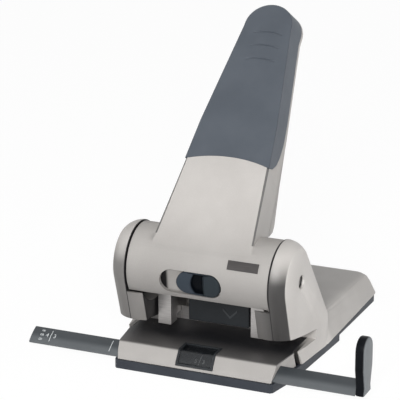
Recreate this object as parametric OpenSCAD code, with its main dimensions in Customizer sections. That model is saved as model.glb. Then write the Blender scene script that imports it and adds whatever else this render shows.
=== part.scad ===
// Heavy-duty two-hole punch with a long lever, a lock slider and a guide bar.
// Origin: on the desk, midway between the two punched holes. +X right, +Y to the back, +Z up.

/* [Punching] */
// Distance between the two punched holes
hole_pitch = 80; // [78:0.5:82]
// Diameter of a punched hole
hole_d = 5.5; // [5:0.1:6]
// Distance from the hole centres to the edge of the paper
hole_margin = 12; // [11.5:0.1:12.5]
// Height of the gap that takes the stack of paper
slot_h = 5.7; // [5:0.1:6.2]
// How far a punch ends below the table at the end of the press
punch_pass = 3; // [2:0.1:4]
// Radial clearance of everything that slides or turns in a bore
run_gap = 0.05; // [0.03:0.01:0.08]
// Radius of a punch's head
head_r = 4.6; // [4.4:0.1:4.8]
// Height of a punch's head
head_h = 2.5; // [2:0.1:3]

/* [Base] */
// Distance from the hole line to the front end of the base
front_reach = 45; // [44:0.5:48]
// Distance from the hole line to the rear end of the base
rear_reach = 137.5; // [125:0.5:145]
// Height of the dark tray and base plate
tray_h = 5.9; // [5.6:0.1:6.4]
// Height of the punching table
table_z = 16.6; // [16:0.1:17.5]
// Half of the base's width at its front end
front_half_w = 54; // [52:0.5:55]
// How far the base's sides stand outside the cheeks
side_step = 1.3; // [1:0.1:1.6]
// Half of the width of the rear hood's top
hood_half_w = 56.5; // [54:0.5:58]
// Height of the hood's top at the rear
hood_rear_z = 19.5; // [18:0.5:22]
// Height of the hood's top at the cheeks
hood_front_z = 25; // [23:0.5:27]
// Thickness of the casting's walls
wall = 2.4; // [2:0.1:3]
// Thickness of the deck's sheet
deck_t = 2; // [1.6:0.1:2.2]
// Floor thickness of the tray and the base plate
floor_t = 1.6; // [1.4:0.1:2]
// Angle that the empty tray swings down by
tray_swing = 70; // [40:5:80]

/* [Cheeks] */
// Height of the lever's pivot above the desk
pivot_z = 64.8; // [64:0.1:67]
// Distance of the pivot in front of the hole line
pivot_reach = 14.6; // [14.2:0.1:15]
// Distance from a hole's centre to the inner face of a cheek
cheek_gap = 8.5; // [8.3:0.1:9.5]
// Thickness of a cheek at the pivot
cheek_t = 12.7; // [12.2:0.1:13]
// How far a cheek's rim stands proud of the barrel beside it
rim_proud = 0.75; // [0.5:0.05:1.2]
// Radius that the rim is rounded with towards its crease
rim_round = 13.3; // [12.5:0.1:16]
// Distance from a cheek's inner face to the crease round its outer face
crease_step = 10; // [9:0.1:11]
// Radius that the front of a leg is rounded with, from side to side
leg_r = 16.4; // [15.5:0.1:17]
// Distance from the middle to the inner face of a leg
leg_half_w = 38; // [37.5:0.1:38.5]
// Distance from the hole line to the front of a leg
leg_reach = 23.2; // [22:0.1:24]
// Height of a leg's lower front corner
leg_z = 28.9; // [28:0.1:30]

/* [Lever] */
// Lean of the raised lever from upright
lever_lean = 44; // [42:1:46]
// Angle that the lever swings by in one press
press_angle = 45; // [40:1:46]
// Radius of the barrel
barrel_r = 24.65; // [24.2:0.05:25]
// Gap between an end of the barrel and its cheek
barrel_gap = 0.6; // [0.55:0.05:0.7]
// Wall of the lever's shell
shell_t = 2.4; // [2:0.1:2.6]
// Length of the arm from the pivot to its tip
arm_l = 180; // [165:1:190]
// Half of the arm's width at the barrel
arm_root_w = 34; // [32:0.5:34.5]
// Half of the arm's width at the middle
arm_mid_w = 25.9; // [24:0.1:28]
// Radius of the arm's round tip
tip_r = 16; // [15:0.5:18]
// Lean of the arm's round end, whose rear edge stands further out
tip_tilt = 14; // [8:1:16]
// Depth of the arm's side walls
arm_d = 24; // [22:0.5:24.2]
// Where the grip begins, measured along the arm
grip_start = 63; // [55:1:75]
// Thickness of the grip
grip_t = 2; // [1.6:0.1:2.4]
// How far the grip stands proud of the shell
grip_proud = 0.4; // [0.2:0.1:0.8]
// Height of the silver strip left bare behind the grip
bare_strip = 4; // [3:0.5:6]
// How far the grip's lower edge bulges upward in the middle
grip_bulge = 4.5; // [3:0.5:6]
// Number of thumb grooves
groove_count = 3; // [1:1:4]
// Distance between thumb grooves
groove_pitch = 10; // [8:0.5:12]
// Length of a thumb groove
groove_l = 20; // [14:1:22]

/* [Window and lock slider] */
// Left end of the slider's window
window_left = -25; // [-28:0.5:-24]
// Right end of the slider's window
window_right = 17; // [16:0.5:20]
// Height of the slider's window
window_h = 16; // [14:0.5:17]
// Angle of the window below the barrel's foremost line
window_drop = 6.5; // [4:0.5:9]
// Travel of the lock slider
slider_travel = 10; // [8:0.5:10]
// Length of the badge plate
badge_l = 20.5; // [16:0.5:24]
// Distance from the middle to the badge plate
badge_x = 20; // [18:0.5:24]
// Angle of the badge plate's middle above the foremost line
badge_rise = 31; // [28:0.5:34]
// Height of the badge plate
badge_h = 6; // [4:0.5:8]

/* [Guide bar] */
// Distance from the middle to the stop face, half of the paper's height
stop_x = 107; // [105:0.5:112]
// Length of the guide bar
bar_l = 223.5; // [215:0.5:235]
// Width of the guide bar
bar_w = 12.6; // [12:0.1:12.8]
// Thickness of the guide bar
bar_t = 2; // [1.8:0.1:2.2]
// Tilt of the guide bar
bar_tilt = 32; // [30:1:34]
// Thickness of the end stop
stop_t = 6.5; // [5:0.5:8]
// Width of the end stop
stop_w = 16.5; // [14:0.5:18]
// Height of the end stop's top above the desk
stop_z = 44; // [40:1:55]
// Half of the format window's width
format_half_w = 12.8; // [11:0.1:14]

/* [Pivot] */
// Radius of the pivot shaft
shaft_r = 4; // [3.8:0.1:4.2]
// Outer radius of the sleeve that turns on the shaft
sleeve_r = 6.5; // [6.2:0.1:6.6]
// Radius of a pivot screw's head
pivot_head_r = 4.2; // [4:0.1:4.6]
// Depth that a pivot screw's head is seated at in its cheek
screw_depth = 4.4; // [4:0.1:6]

/* [Return springs] */
// Wire thickness of a return spring
wire_d = 1.1; // [1:0.05:1.2]
// Radius of a return spring to the middle of its wire
coil_r = 4.6; // [4.5:0.05:4.7]
// Turns of a return spring
coil_turns = 7; // [6:1:7]

/* [Hidden] */

fine = 96;
medium = 48;
coarse = 32;
seat = 0.05;
clear = 0.3;
far = 400;
silver = "#cfcac5";
slate = "#585f68";
dark = "#4a5058";
steel = "#b9bcc0";
brass = "#b89b5e";

pivot_y = -pivot_reach;
hole_x = hole_pitch / 2;
cheek_in = hole_x + cheek_gap;
cheek_half_w = cheek_in + cheek_t;
side_half_w = cheek_half_w + side_step;
barrel_half_w = cheek_in - barrel_gap;
crease_x = cheek_in + crease_step;
rim_r = barrel_r + rim_proud;
crease_r = rim_r - rim_round + sqrt(pow(rim_round, 2) - pow(crease_step, 2));
dome_h = cheek_half_w - crease_x;
dome_r = (pow(crease_r, 2) + pow(dome_h, 2)) / (2 * dome_h);
leg_x = leg_half_w + 7.3;
knee_z = leg_z - 2;
knee_y = leg_r - leg_reach - 0.4;
brow_z = 49.9;
brow_y = leg_r - leg_reach - 13.8;
pin_r = hole_d / 2;
slot_top = table_z + slot_h;
backstop_y = hole_margin;
barrel_clear = barrel_r + 0.7;

// Plan and section of the base
nose_y = 1.4 - front_reach;
nose_top_y = nose_y + 5.4;
nose_round = 2.5;
slit_top_y = -14;
slit_low_y = -8.2;
slit_gap = 1.7;
deck_in_w = side_half_w - 7;
jaw_in_w = deck_in_w + clear;
jaw_front_w = side_half_w - 4.2;
jaw_rear_y = 9;
deck_rear_w = jaw_front_w - 0.9;
flange_w = deck_in_w - 1.9;
tray_rear_y = 53.4;
tray_pivot_y = tray_rear_y + 3.2;
tray_knuckle_r = tray_h / 2 - 0.05;
tray_pin_r = 1.5;
plate_front_y = tray_pivot_y + 3.2;
hinge_half_w = side_half_w - 6.5;
knuckle_l = 16;
knuckle_gap = 2;
hood_round = 3;
hood_corner_r = 9;

// Punch frames: C-shaped blocks round the paper slot
frame_in = hole_x - 8.2;
frame_out = cheek_in - 0.9;
frame_front = -9;
frame_back = backstop_y + 9;
frame_top = 40;
chassis_z = tray_h + 0.5;
chassis_t = 1.6;
chassis_top = chassis_z + chassis_t;
chassis_front = 17 - front_reach;
flange_front = -17;
flange_l = 23;
jaw_low_z = chassis_top + seat;
jaw_high_z = table_z - deck_t - 0.1;
frame_screw_y = 16;
deck_screw_at = [front_half_w - 8, chassis_front + 6];
chassis_screw_at = [deck_in_w - 5.5, 40];
base_screw_x = side_half_w - 17.5;
base_screw_y = [plate_front_y + 15.2, rear_reach - 13.7];
post_top = 4.45;
rib_in = frame_in - 4.4;
rib_w = 9.1;
rib_d = 6;
rib_top = 44;
cover_half_w = rib_in - 6.5;
cover_top = 42.5;
bush_r = 6;
chip_r = pin_r + 0.8;

// Lever, pressed by half of its angle to each side of level at the cams
cam_tilt = press_angle / 2;
cam_reach = pivot_reach / cos(cam_tilt);
cam_rise = cam_reach * sin(cam_tilt);
nose_r = 5;
cam_hub_r = 8.6;
cam_w = 7;
stroke = 2 * cam_rise;
head_top = pivot_z + cam_rise - nose_r - clear;
pin_low = table_z - punch_pass + stroke;
spring_low = frame_top + seat;
spring_high = head_top - head_h - seat;
collar_h = 1.6;
arm_face = barrel_r - 0.05;
arm_back = arm_face - arm_d;
arm_mid_z = 91.6;
tip_z = arm_l - tip_r;
open_front = -33.8;
open_rear = 160;
slider_gap = 0.4;
slider_r = window_h / 2 - slider_gap;
recess_floor = barrel_r - 5.25;
recess_floor_t = 1.6;
slider_left = window_left + slider_travel + 1.2;
slider_right = window_right - 0.8;
step_x = (slider_left + slider_right) / 2 - 2;
stem_x = (slider_left + slider_right) / 2;
stem_half_l = 3;
tongue_t = 1.8;
tongue_l = window_right - window_left - 6;
tongue_w = window_h - 4;
stem_half_h = 1.9;

// Guide bar's place behind the nose
bar_y = nose_y + 7.3;
bar_z = 10.1;
bar_end = 0.1;
stop_y = bar_y + 0.4;

function arc(c, r, from, to, n) =
    [for (i = [0:n]) let (a = from + (to - from) * i / n) [c[0] + r * cos(a), c[1] + r * sin(a)]];

// Half of the arm's width at a distance along it, up to the middle of the tip
function arm_half_w(z) = z < arm_mid_z
    ? arm_root_w + (arm_mid_w - arm_root_w) * z / arm_mid_z
    : arm_mid_w + (tip_r - arm_mid_w) * (z - arm_mid_z) / (tip_z - arm_mid_z);

// An outline with its mirror image, taken back to its start
function mirrored(half) = concat(half, [for (i = [len(half) - 1:-1:0]) [-half[i][0], half[i][1]]]);

// A point of the guide bar's section, along and across the bar
function bar_point(u, v) =
    [bar_y + u * cos(bar_tilt) - v * sin(bar_tilt), bar_z + u * sin(bar_tilt) + v * cos(bar_tilt)];

module both_sides() {
    children();
    mirror([1, 0, 0]) children();
}

// Draws a (y, z) outline across the width from x0 to x1
module across(x0, x1) {
    translate([x0, 0, 0]) rotate([90, 0, 90]) linear_extrude(x1 - x0) children();
}

module at_pivot() {
    translate([0, pivot_y, pivot_z]) children();
}

// A cylinder along X about the pivot
module pivot_rod(r, x0, x1, fn = fine) {
    at_pivot() translate([x0, 0, 0]) rotate([0, 90, 0]) cylinder(r = r, h = x1 - x0, $fn = fn);
}

// Turns a sketch so that Z runs along the arm and -Y points out of its face
module lever_frame() {
    at_pivot() rotate([-lever_lean, 0, 0]) children();
}

// Turns a sketch so that Z points radially out of the barrel, at a rise above the foremost line
module barrel_frame(rise) {
    at_pivot() rotate([90 - rise, 0, 0]) children();
}

// ---- Base

// Upright cylinders at the screws of the base plate, the chassis and the deck
module base_posts(r, z, h) {
    both_sides() for (y = base_screw_y)
        translate([base_screw_x, y, z]) cylinder(r = r, h = h, $fn = coarse);
}

module chassis_posts(r, z, h) {
    both_sides() translate(concat(chassis_screw_at, z)) cylinder(r = r, h = h, $fn = coarse);
}

module deck_posts(r, z, h) {
    both_sides() translate(concat(deck_screw_at, z)) cylinder(r = r, h = h, $fn = coarse);
}

module deck_section(inset) {
    r = nose_round - min(inset, nose_round - 0.5);
    c = [nose_top_y + nose_round, table_z - nose_round];
    polygon(concat(
        [[nose_y + inset, tray_h - (inset > 0 ? 20 : 0)], [nose_y + inset, tray_h]],
        [[nose_y + 2.1 + inset, tray_h + 4.4]],
        arc(c, r, 155, 90, 5),
        [[backstop_y - 0.2, table_z - inset], [backstop_y - 0.2, tray_h - (inset > 0 ? 20 : 0)]]));
}

module deck_plan(inset) {
    w = front_half_w - 0.6 - inset;
    half = [[w - 1.5, nose_y + inset - 1], [w, nose_top_y - 2 + inset],
        [deck_rear_w - inset, slit_low_y], [deck_rear_w - inset, backstop_y]];
    polygon(mirrored(half));
}

module deck_body(inset) {
    intersection() {
        across(-far, far) deck_section(inset);
        translate([0, 0, -50]) linear_extrude(100) deck_plan(inset);
    }
}

// The bar's own section, grown by a gap, convex on top
module bar_section(gap) {
    sag = 0.7;
    half = bar_w / 2 + gap;
    r = (half * half + sag * sag) / (2 * sag);
    span = asin(half / r);
    translate([bar_y, bar_z]) rotate(bar_tilt)
        polygon(concat(arc([0, bar_t / 2 + gap - r], r, 90 - span, 90 + span, 8),
            [[-half, -bar_t / 2 - gap], [half, -bar_t / 2 - gap]]));
}

module format_box(gap) {
    translate([-format_half_w + gap, nose_y - 5, tray_h + 1.6 + gap])
        cube([2 * (format_half_w - gap), 22.8 - gap, 20]);
}

module deck() {
    color(silver) difference() {
        deck_body(0);
        deck_body(deck_t);
        across(-far, far) polygon([[slit_top_y, table_z - deck_t], [slit_low_y - 0.6, 0],
            [far, 0], [far, table_z - deck_t]]);
        both_sides() across(deck_in_w, far) polygon([[slit_top_y, table_z + 0.1],
            [slit_low_y - 0.6, 0], [far, 0], [far, table_z + 0.1]]);
        across(-far, far) bar_section(clear);
        format_box(0);
        both_sides() translate([hole_x, 0, 0]) cylinder(r = bush_r + seat, h = far, $fn = medium);
    }
    color(silver) difference() {
        deck_posts(3.5, chassis_top + seat, table_z - deck_t - chassis_top + 0.5);
        deck_posts(1.5, chassis_z, 8);
    }
}

// One layer of the rear hood: rounded at its rear corners, wider in front
module hood_layer(w_front, w_rear, rear, z_front, z_rear, r) {
    t = 0.2;
    both_sides() {
        translate([w_rear - r, rear - r, z_rear - t]) cylinder(r = r, h = t, $fn = coarse);
        translate([w_front - 2, 32, z_front - t]) cylinder(r = 2, h = t, $fn = coarse);
    }
}

module hood_form(inset) {
    r = hood_corner_r - inset;
    drop = inset > 0 ? 2 : 0;
    hull() {
        hood_layer(side_half_w + 0.7 - inset, side_half_w - inset, rear_reach - inset,
            tray_h + 0.2 - drop, tray_h + 0.2 - drop, r);
        hood_layer(hood_half_w + 2.3 - inset, hood_half_w + 2.4 - inset, rear_reach - 0.6 - inset,
            hood_front_z - 6 - inset, hood_rear_z - 6 - inset, r);
        hood_layer(hood_half_w + 1 - inset, hood_half_w + 0.6 - inset, rear_reach - 2 - inset,
            hood_front_z - 2.4 - inset, hood_rear_z - 2.4 - inset, r);
        hood_layer(hood_half_w - inset, hood_half_w - 0.8 - inset, rear_reach - 4.2 - inset,
            hood_front_z - 0.7 - inset, hood_rear_z - 0.7 - inset, r);
        hood_layer(hood_half_w - hood_round - inset, hood_half_w - hood_round - inset,
            rear_reach - 4.8 - hood_round - inset, hood_front_z - inset, hood_rear_z - inset, r);
    }
}

// Disc round the pivot: its rim is rounded towards a crease, and its outer face is a low dome
module rim_disc() {
    span = asin(crease_r / dome_r);
    at_pivot() rotate([0, 90, 0]) rotate_extrude($fn = fine)
        polygon(concat([[0, cheek_in]],
            arc([rim_r - rim_round, cheek_in], rim_round, 0, asin(crease_step / rim_round), 7),
            arc([0, cheek_half_w - dome_r], dome_r, 90 - span, 90, 6)));
}

// A level slice of the leg, rounded in front between its inner face and the crease
module leg_slice(y, z) {
    translate([leg_x, y, z]) linear_extrude(0.1) intersection() {
        circle(r = leg_r, $fn = fine);
        translate([leg_half_w - leg_x, -leg_r])
            square([crease_x - leg_half_w, 1.5 * leg_r]);
    }
}

module cheek_form() {
    hull() {
        rim_disc();
        leg_slice(knee_y, tray_h);
        leg_slice(knee_y, knee_z);
        leg_slice(brow_y, brow_z - 0.1);
        translate([side_half_w - 8, 28, tray_h]) cylinder(r = 8.4, h = 1, $fn = coarse);
        translate([side_half_w - 8.5, 33, tray_h])
            cylinder(r = 8, h = hood_front_z - tray_h, $fn = coarse);
    }
}

// Wall that closes the space behind the barrel and the punch frames
guard_line = [[pivot_y + barrel_r + 1.1, pivot_z - 2.3], [frame_back + 1.6, frame_top + 7],
    [frame_back + 12, hood_front_z - 1]];
module guard_section() {
    polygon([guard_line[0], guard_line[0] + [2.3, 0], guard_line[1] + [2.4, 0.9],
        guard_line[2] + [3, 0], guard_line[2], guard_line[1]]);
}

// Thin walls behind the barrel, to the left and right of the arm
ear_low = -5.5;
ear_high = 12;
ear_t = 1.4;
module guard_ears() {
    both_sides() across(arm_root_w + 1.6, cheek_in + 1) translate([pivot_y, pivot_z]) polygon(concat(
        arc([0, 0], barrel_r + 1.05, ear_low, ear_high, 8),
        arc([0, 0], barrel_r + 1.05 + ear_t, ear_high, ear_low, 8)));
}

module housing() {
    color(silver) difference() {
        union() {
            hood_form(0);
            both_sides() cheek_form();
            across(-cheek_in - 1, cheek_in + 1) guard_section();
            guard_ears();
        }
        difference() {
            hood_form(wall);
            base_posts(4, 0, far);
            chassis_posts(4, 0, far);
            // the guard's foot closes the hood at the front
            across(-cheek_in, cheek_in) polygon([[frame_back + 12, hood_front_z + 5],
                [frame_back + 10.5, tray_h + 10], [frame_back + 13, tray_h + 10],
                [frame_back + 16, hood_front_z]]);
        }
        // barrel, and the open space between the cheeks
        pivot_rod(barrel_clear, -cheek_in, cheek_in);
        across(-cheek_in, cheek_in) polygon([[-far, brow_z], [pivot_y, brow_z], [pivot_y, far],
            [-far, far]]);
        across(-cheek_in + 0.6, cheek_in - 0.6) polygon([[frame_front - 0.6, -1],
            [frame_front - 0.6, pivot_z], [pivot_y + barrel_r, pivot_z], guard_line[0], guard_line[1],
            guard_line[2] - [0, 3], [frame_back + 10.5, tray_h + 10], [frame_back + 10.5, -1]]);
        translate([-leg_half_w, -far, -1]) cube([2 * leg_half_w, far + 10, pivot_z]);
        // paper slot, open to the front and to both sides
        across(-far, far) polygon([[-far, table_z], [backstop_y, table_z],
            [backstop_y, slot_top + 1.2], [-10.1, slot_top + 4.2], [-leg_reach - 2, leg_z + 0.3],
            [-far, leg_z + 0.3]]);
        // room for the deck and for the inside of the base
        across(-far, far) polygon([[-far, -1], [-far, table_z + 0.1],
            [slit_top_y + slit_gap, table_z + 0.1], [slit_low_y + slit_gap, tray_h],
            [slit_low_y + slit_gap, -1]]);
        translate([-jaw_in_w, -far, -1]) cube([2 * jaw_in_w, far + backstop_y + 6, table_z + 1.1]);
        translate([-jaw_in_w, backstop_y + 5, -1]) cube([2 * jaw_in_w, 18, table_z - 2]);
        // the sides below the slot draw in towards the front
        translate([0, 0, -1]) linear_extrude(table_z + 1.05) both_sides()
            polygon([[jaw_front_w, -far], [jaw_front_w, slit_top_y], [side_half_w, jaw_rear_y],
                [far, jaw_rear_y], [far, -far]]);
        // hollow leg, open towards the base
        both_sides() across(cheek_in + wall, cheek_half_w - wall - 0.6)
            polygon([[backstop_y + 4, -1], [backstop_y + 4, 26], [4, 32], [0, 48], [10, 48],
                [34, 20], [34, -1]]);
        // bores for the pivot shaft, with room for the screw heads
        pivot_rod(shaft_r + run_gap, -far, far, medium);
        both_sides() pivot_rod(pivot_head_r + clear, cheek_half_w - screw_depth - seat, far, medium);
        // pilot holes in the bosses
        base_posts(1.55, -1, 14);
        chassis_posts(1.55, -1, 16);
        // bosses end above the plates that are screwed to them
        base_posts(6, -1, post_top + 0.1 + 1);
        chassis_posts(5, -1, chassis_top + seat + 1);
    }
}

module tray_plan(inset) {
    polygon(mirrored([[front_half_w - 1.4 - inset, inset - front_reach],
        [front_half_w - inset, inset + 1.4 - front_reach], [front_half_w + 3.3 - inset, -28],
        [side_half_w - 2.4 - inset, 1], [side_half_w + 1 - inset, tray_rear_y - inset]]));
}

// A hinge knuckle with the web that ties it to its plate at one side
module knuckle(x0, x1, side) {
    across(x0, x1) union() {
        translate([tray_pivot_y, tray_h / 2]) circle(r = tray_knuckle_r, $fn = medium);
        translate([side > 0 ? tray_pivot_y : tray_rear_y - 0.5, 0.4])
            square([plate_front_y - tray_pivot_y + 0.5, tray_h - 1.6]);
    }
}

module chip_tray() {
    color(dark) difference() {
        union() {
            difference() {
                linear_extrude(tray_h - 0.05) tray_plan(0);
                translate([0, 0, floor_t]) linear_extrude(far) tray_plan(2);
            }
            both_sides() knuckle(hinge_half_w - knuckle_l, hinge_half_w, -1);
            knuckle(-knuckle_l, knuckle_l, -1);
        }
        across(-far, far) translate([tray_pivot_y, tray_h / 2])
            circle(r = tray_pin_r + run_gap, $fn = coarse);
    }
}

module base_plate() {
    color(dark) difference() {
        union() {
            difference() {
                base_plate_form(0, 0);
                translate([0, 0, floor_t]) base_plate_form(2, far);
            }
            both_sides() knuckle(knuckle_l + knuckle_gap, hinge_half_w - knuckle_l - knuckle_gap, 1);
            base_posts(5.2, 0, post_top);
        }
        across(-far, far) translate([tray_pivot_y, tray_h / 2])
            circle(r = tray_pin_r + run_gap, $fn = coarse);
        base_posts(3.2, -1, 3.5);
        base_posts(1.6, -1, 20);
    }
}

module base_plate_form(inset, extra) {
    w = side_half_w - 1;
    r = hood_corner_r - 1;
    linear_extrude(tray_h - 0.05 + extra) union() {
        polygon([[-w + 1.4 + inset, plate_front_y + inset], [w - 1.4 - inset, plate_front_y + inset],
            [w - inset, rear_reach - r], [-w + inset, rear_reach - r]]);
        translate([-w + r, rear_reach - r - 1]) square([2 * (w - r), r + 0.4 - inset]);
        both_sides() translate([w - r, rear_reach - r - 0.6]) circle(r = r - inset, $fn = medium);
    }
}

module chassis_plate() {
    color(steel) difference() {
        union() {
            translate([0, 0, chassis_z]) linear_extrude(chassis_t) union() {
                translate([3 - front_half_w, chassis_front]) square([2 * (front_half_w - 3), 20]);
                translate([-flange_w, flange_front])
                    square([2 * flange_w, chassis_screw_at[1] + 5.5 - flange_front]);
            }
            both_sides() translate([flange_w - chassis_t, flange_front, chassis_z])
                cube([chassis_t, flange_l, table_z - deck_t - chassis_z - 0.4]);
        }
        both_sides() {
            translate([hole_x, 0, 0]) cylinder(r = chip_r + 1, h = 20, $fn = medium);
            translate([hole_x, frame_screw_y, 0]) screw_form(chassis_z, 20, 0.1);
        }
        chassis_posts(1.6, 0, 20);
        deck_posts(1.6, 0, 20);
    }
}

// Countersunk screw whose head is flush with z
module screw_form(z, top, gap) {
    rotate_extrude($fn = coarse) polygon([[0, z - (gap > 0 ? 1 : 0)], [3 + gap, z - (gap > 0 ? 1 : 0)],
        [3 + gap, z], [1.6 + gap, z + 1.4], [1.6 + gap, top], [0, top]]);
}

module punch_frame() {
    difference() {
        union() {
            across(frame_in, frame_out) polygon([[frame_front, jaw_low_z], [frame_back, jaw_low_z],
                [frame_back, frame_top], [frame_front, frame_top], [frame_front, slot_top],
                [backstop_y, slot_top], [backstop_y, jaw_high_z], [frame_front, jaw_high_z]]);
            across(rib_in, rib_in + rib_w) polygon([[frame_front - rib_d, slot_top],
                [frame_front + 4, slot_top], [frame_front + 4, rib_top],
                [frame_front - rib_d, rib_top]]);
        }
        translate([hole_x, 0, slot_top - 1]) cylinder(r = pin_r + run_gap, h = 40, $fn = medium);
        translate([hole_x, 0, 0]) cylinder(r = bush_r + seat, h = jaw_high_z + 1, $fn = medium);
        translate([hole_x, frame_screw_y, 0]) cylinder(r = 1.65, h = jaw_low_z + 4.2, $fn = coarse);
    }
}

module punch_frame_left() { color(steel) mirror([1, 0, 0]) punch_frame(); }
module punch_frame_right() { color(steel) punch_frame(); }

module die_bushes() {
    color(steel) both_sides() translate([hole_x, 0, 0]) rotate_extrude($fn = medium)
        polygon([[chip_r, jaw_low_z + 0.1], [bush_r, jaw_low_z + 0.1], [bush_r, table_z],
            [pin_r + run_gap, table_z], [pin_r + run_gap, table_z - 5], [chip_r, table_z - 6]]);
}

module paper_backstop() {
    w = frame_in - 0.2;
    color(steel) {
        translate([-w, backstop_y, jaw_low_z]) cube([2 * w, 1.4, slot_top + 3 - jaw_low_z]);
        translate([-w, backstop_y, jaw_low_z]) cube([2 * w, 8, 1.4]);
    }
}

module centre_cover() {
    w = cover_half_w;
    front = -1.4;
    color(dark) {
        translate([-w, front, slot_top]) cube([2 * w, 2, cover_top - slot_top]);
        translate([-w, front, slot_top]) cube([2 * w, backstop_y - 0.1 - front, 2.2]);
        both_sides() across(w - 2, w) polygon([[front, slot_top], [backstop_y - 0.1, slot_top],
            [backstop_y - 0.1, slot_top + 6], [front + 1, cover_top - 2.5]]);
    }
}

module pivot_shaft() {
    end = cheek_half_w - screw_depth - 0.15;
    color(steel) difference() {
        pivot_rod(shaft_r, -end, end, medium);
        both_sides() pivot_rod(2 + run_gap, end - 10, far, coarse);
    }
}

module pivot_screws() {
    seat_x = cheek_half_w - screw_depth;
    color(steel) both_sides() difference() {
        union() {
            pivot_rod(pivot_head_r, seat_x, seat_x + 2.2, medium);
            pivot_rod(2, seat_x - 8, seat_x + 1, coarse);
        }
        pivot_rod(1.5, seat_x + 0.8, far, 6);
    }
}

module pivot_washers() {
    mid = (barrel_half_w + cheek_in) / 2;
    color(brass) both_sides() difference() {
        pivot_rod(8, mid - 0.25, mid + 0.25, medium);
        pivot_rod(shaft_r + run_gap, mid - 1, mid + 1, medium);
    }
}

module tray_hinge_pin() {
    color(steel) across(0.5 - hinge_half_w, hinge_half_w - 0.5) translate([tray_pivot_y, tray_h / 2])
        circle(r = tray_pin_r, $fn = coarse);
}

// Leaf that presses the bar from below, so that it stays where it is put
module bar_clip() {
    t = 0.6;
    low = chassis_top + seat;
    under = -bar_t / 2 - clear;
    color(steel) across(22, 34) polygon([[-16, low + t], [-26.5, low + t], bar_point(5, under),
        bar_point(2.6, under), bar_point(2.6, under - t), bar_point(5, under - t), [-26.2, low],
        [-16, low]]);
}

module frame_screws() {
    color(steel) both_sides() translate([hole_x, frame_screw_y, 0]) screw_form(chassis_z, jaw_low_z + 4, 0);
}

module chassis_screws() {
    color(steel) {
        deck_posts(2.8, chassis_z - 1.8, 1.75);
        deck_posts(1.45, chassis_z - 1, 7);
        chassis_posts(2.8, chassis_z - 1.8, 1.75);
        chassis_posts(1.45, chassis_z - 1, 7);
    }
}

module base_screws() {
    color(steel) {
        base_posts(3, 0.6, 1.85);
        base_posts(1.45, 1, 11);
    }
}

module window_frame() {
    color(dark) difference() {
        intersection() {
            deck_body(-clear);
            format_box(0.1);
        }
        deck_body(1.4);
        format_box(1.5);
    }
}

module window_lens() {
    color("#30363d", 0.5) intersection() {
        difference() {
            deck_body(0.4);
            deck_body(1.4);
        }
        format_box(1.55);
    }
}

// ---- Lever

// The arm's sides, up to the cylinder that rounds its end
module arm_sides(inset, from) {
    half = [[arm_half_w(from) - inset, from], [arm_half_w(arm_mid_z) - inset, arm_mid_z],
        [tip_r - inset, tip_z], [tip_r - inset, tip_z + 2 * arm_d * tan(tip_tilt)]];
    polygon(mirrored(half));
}

// The arm's form drawn through from the face side to the back
module arm_block(inset, face, back, from) {
    lever_frame() intersection() {
        translate([-far, -face, -far]) cube([2 * far, face - back, 2 * far]);
        union() {
            difference() {
                translate([0, 2 * arm_d, 0]) rotate([90, 0, 0])
                    linear_extrude(4 * arm_d) arm_sides(inset, from);
                translate([0, -arm_face, tip_z]) rotate([tip_tilt, 0, 0])
                    translate([-far, -far, 0]) cube([2 * far, 2 * far, far]);
            }
            translate([0, -arm_face, tip_z]) rotate([tip_tilt - 90, 0, 0])
                translate([0, 0, -2 * arm_d]) cylinder(r = tip_r - inset, h = 6 * arm_d, $fn = fine);
        }
    }
}

// Side walls that reach further back where the arm meets the barrel
gusset_line = [[-0.4, 92], [3, 63], [5.9, 47], [7.6, 38], [6.6, 33], [2.1, 28], [-0.4, 28]];
module arm_gussets() {
    intersection() {
        difference() {
            arm_block(0, arm_back + 1, arm_back - 9, 20);
            arm_block(shell_t, arm_back + 2, arm_back - 10, 15);
        }
        lever_frame() translate([-arm_root_w, -arm_back, 0]) rotate([90, 0, 90])
            linear_extrude(2 * arm_root_w) polygon(gusset_line);
    }
}

// Everything of the arm that the grip may cover
module grip_zone() {
    strip = arm_back + bare_strip;
    r = (pow(arm_half_w(grip_start), 2) + pow(grip_bulge, 2)) / (2 * grip_bulge);
    lever_frame() difference() {
        translate([-50, 0, 0]) rotate([90, 0, 90]) linear_extrude(100)
            polygon([[-60, grip_start], [-arm_face, grip_start], [-arm_face + 4, grip_start + 1.5],
                [-arm_face + 9, grip_start + 8], [-arm_face + 14, grip_start + 20],
                [-strip - 1.5, grip_start + 38], [-strip, grip_start + 66], [-strip, far],
                [-60, far]]);
        translate([0, 50, grip_start + grip_bulge - r]) rotate([90, 0, 0])
            cylinder(r = r, h = 200, $fn = fine);
    }
}

module barrel_tube() {
    difference() {
        pivot_rod(barrel_r, -barrel_half_w, barrel_half_w);
        // open below, between the front edge and the rear edge
        at_pivot() across(-far, far) polygon([[0, 0], [-100 * cos(open_front), 100 * sin(open_front)],
            [-100, -200], [200, -200], [-100 * cos(open_rear), 100 * sin(open_rear)]]);
    }
}

module lever_shell() {
    in_r = barrel_r - shell_t;
    color(silver) difference() {
        union() {
            barrel_tube();
            difference() {
                arm_block(0, arm_face, arm_back, 0.5);
                difference() {
                    grip_zone();
                    arm_block(grip_t + seat, arm_face - grip_t - seat, -far, 0);
                }
            }
            arm_gussets();
            both_sides() pivot_rod(sleeve_r + 2, barrel_half_w - shell_t, barrel_half_w, medium);
        }
        pivot_rod(in_r, -barrel_half_w + shell_t, barrel_half_w - shell_t);
        arm_block(shell_t + grip_t, arm_face - shell_t - grip_t, -far, 12);
        pivot_rod(shaft_r + run_gap, -far, far, medium);
        window_cut(window_h / 2, barrel_r - 8);
    }
}

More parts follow.
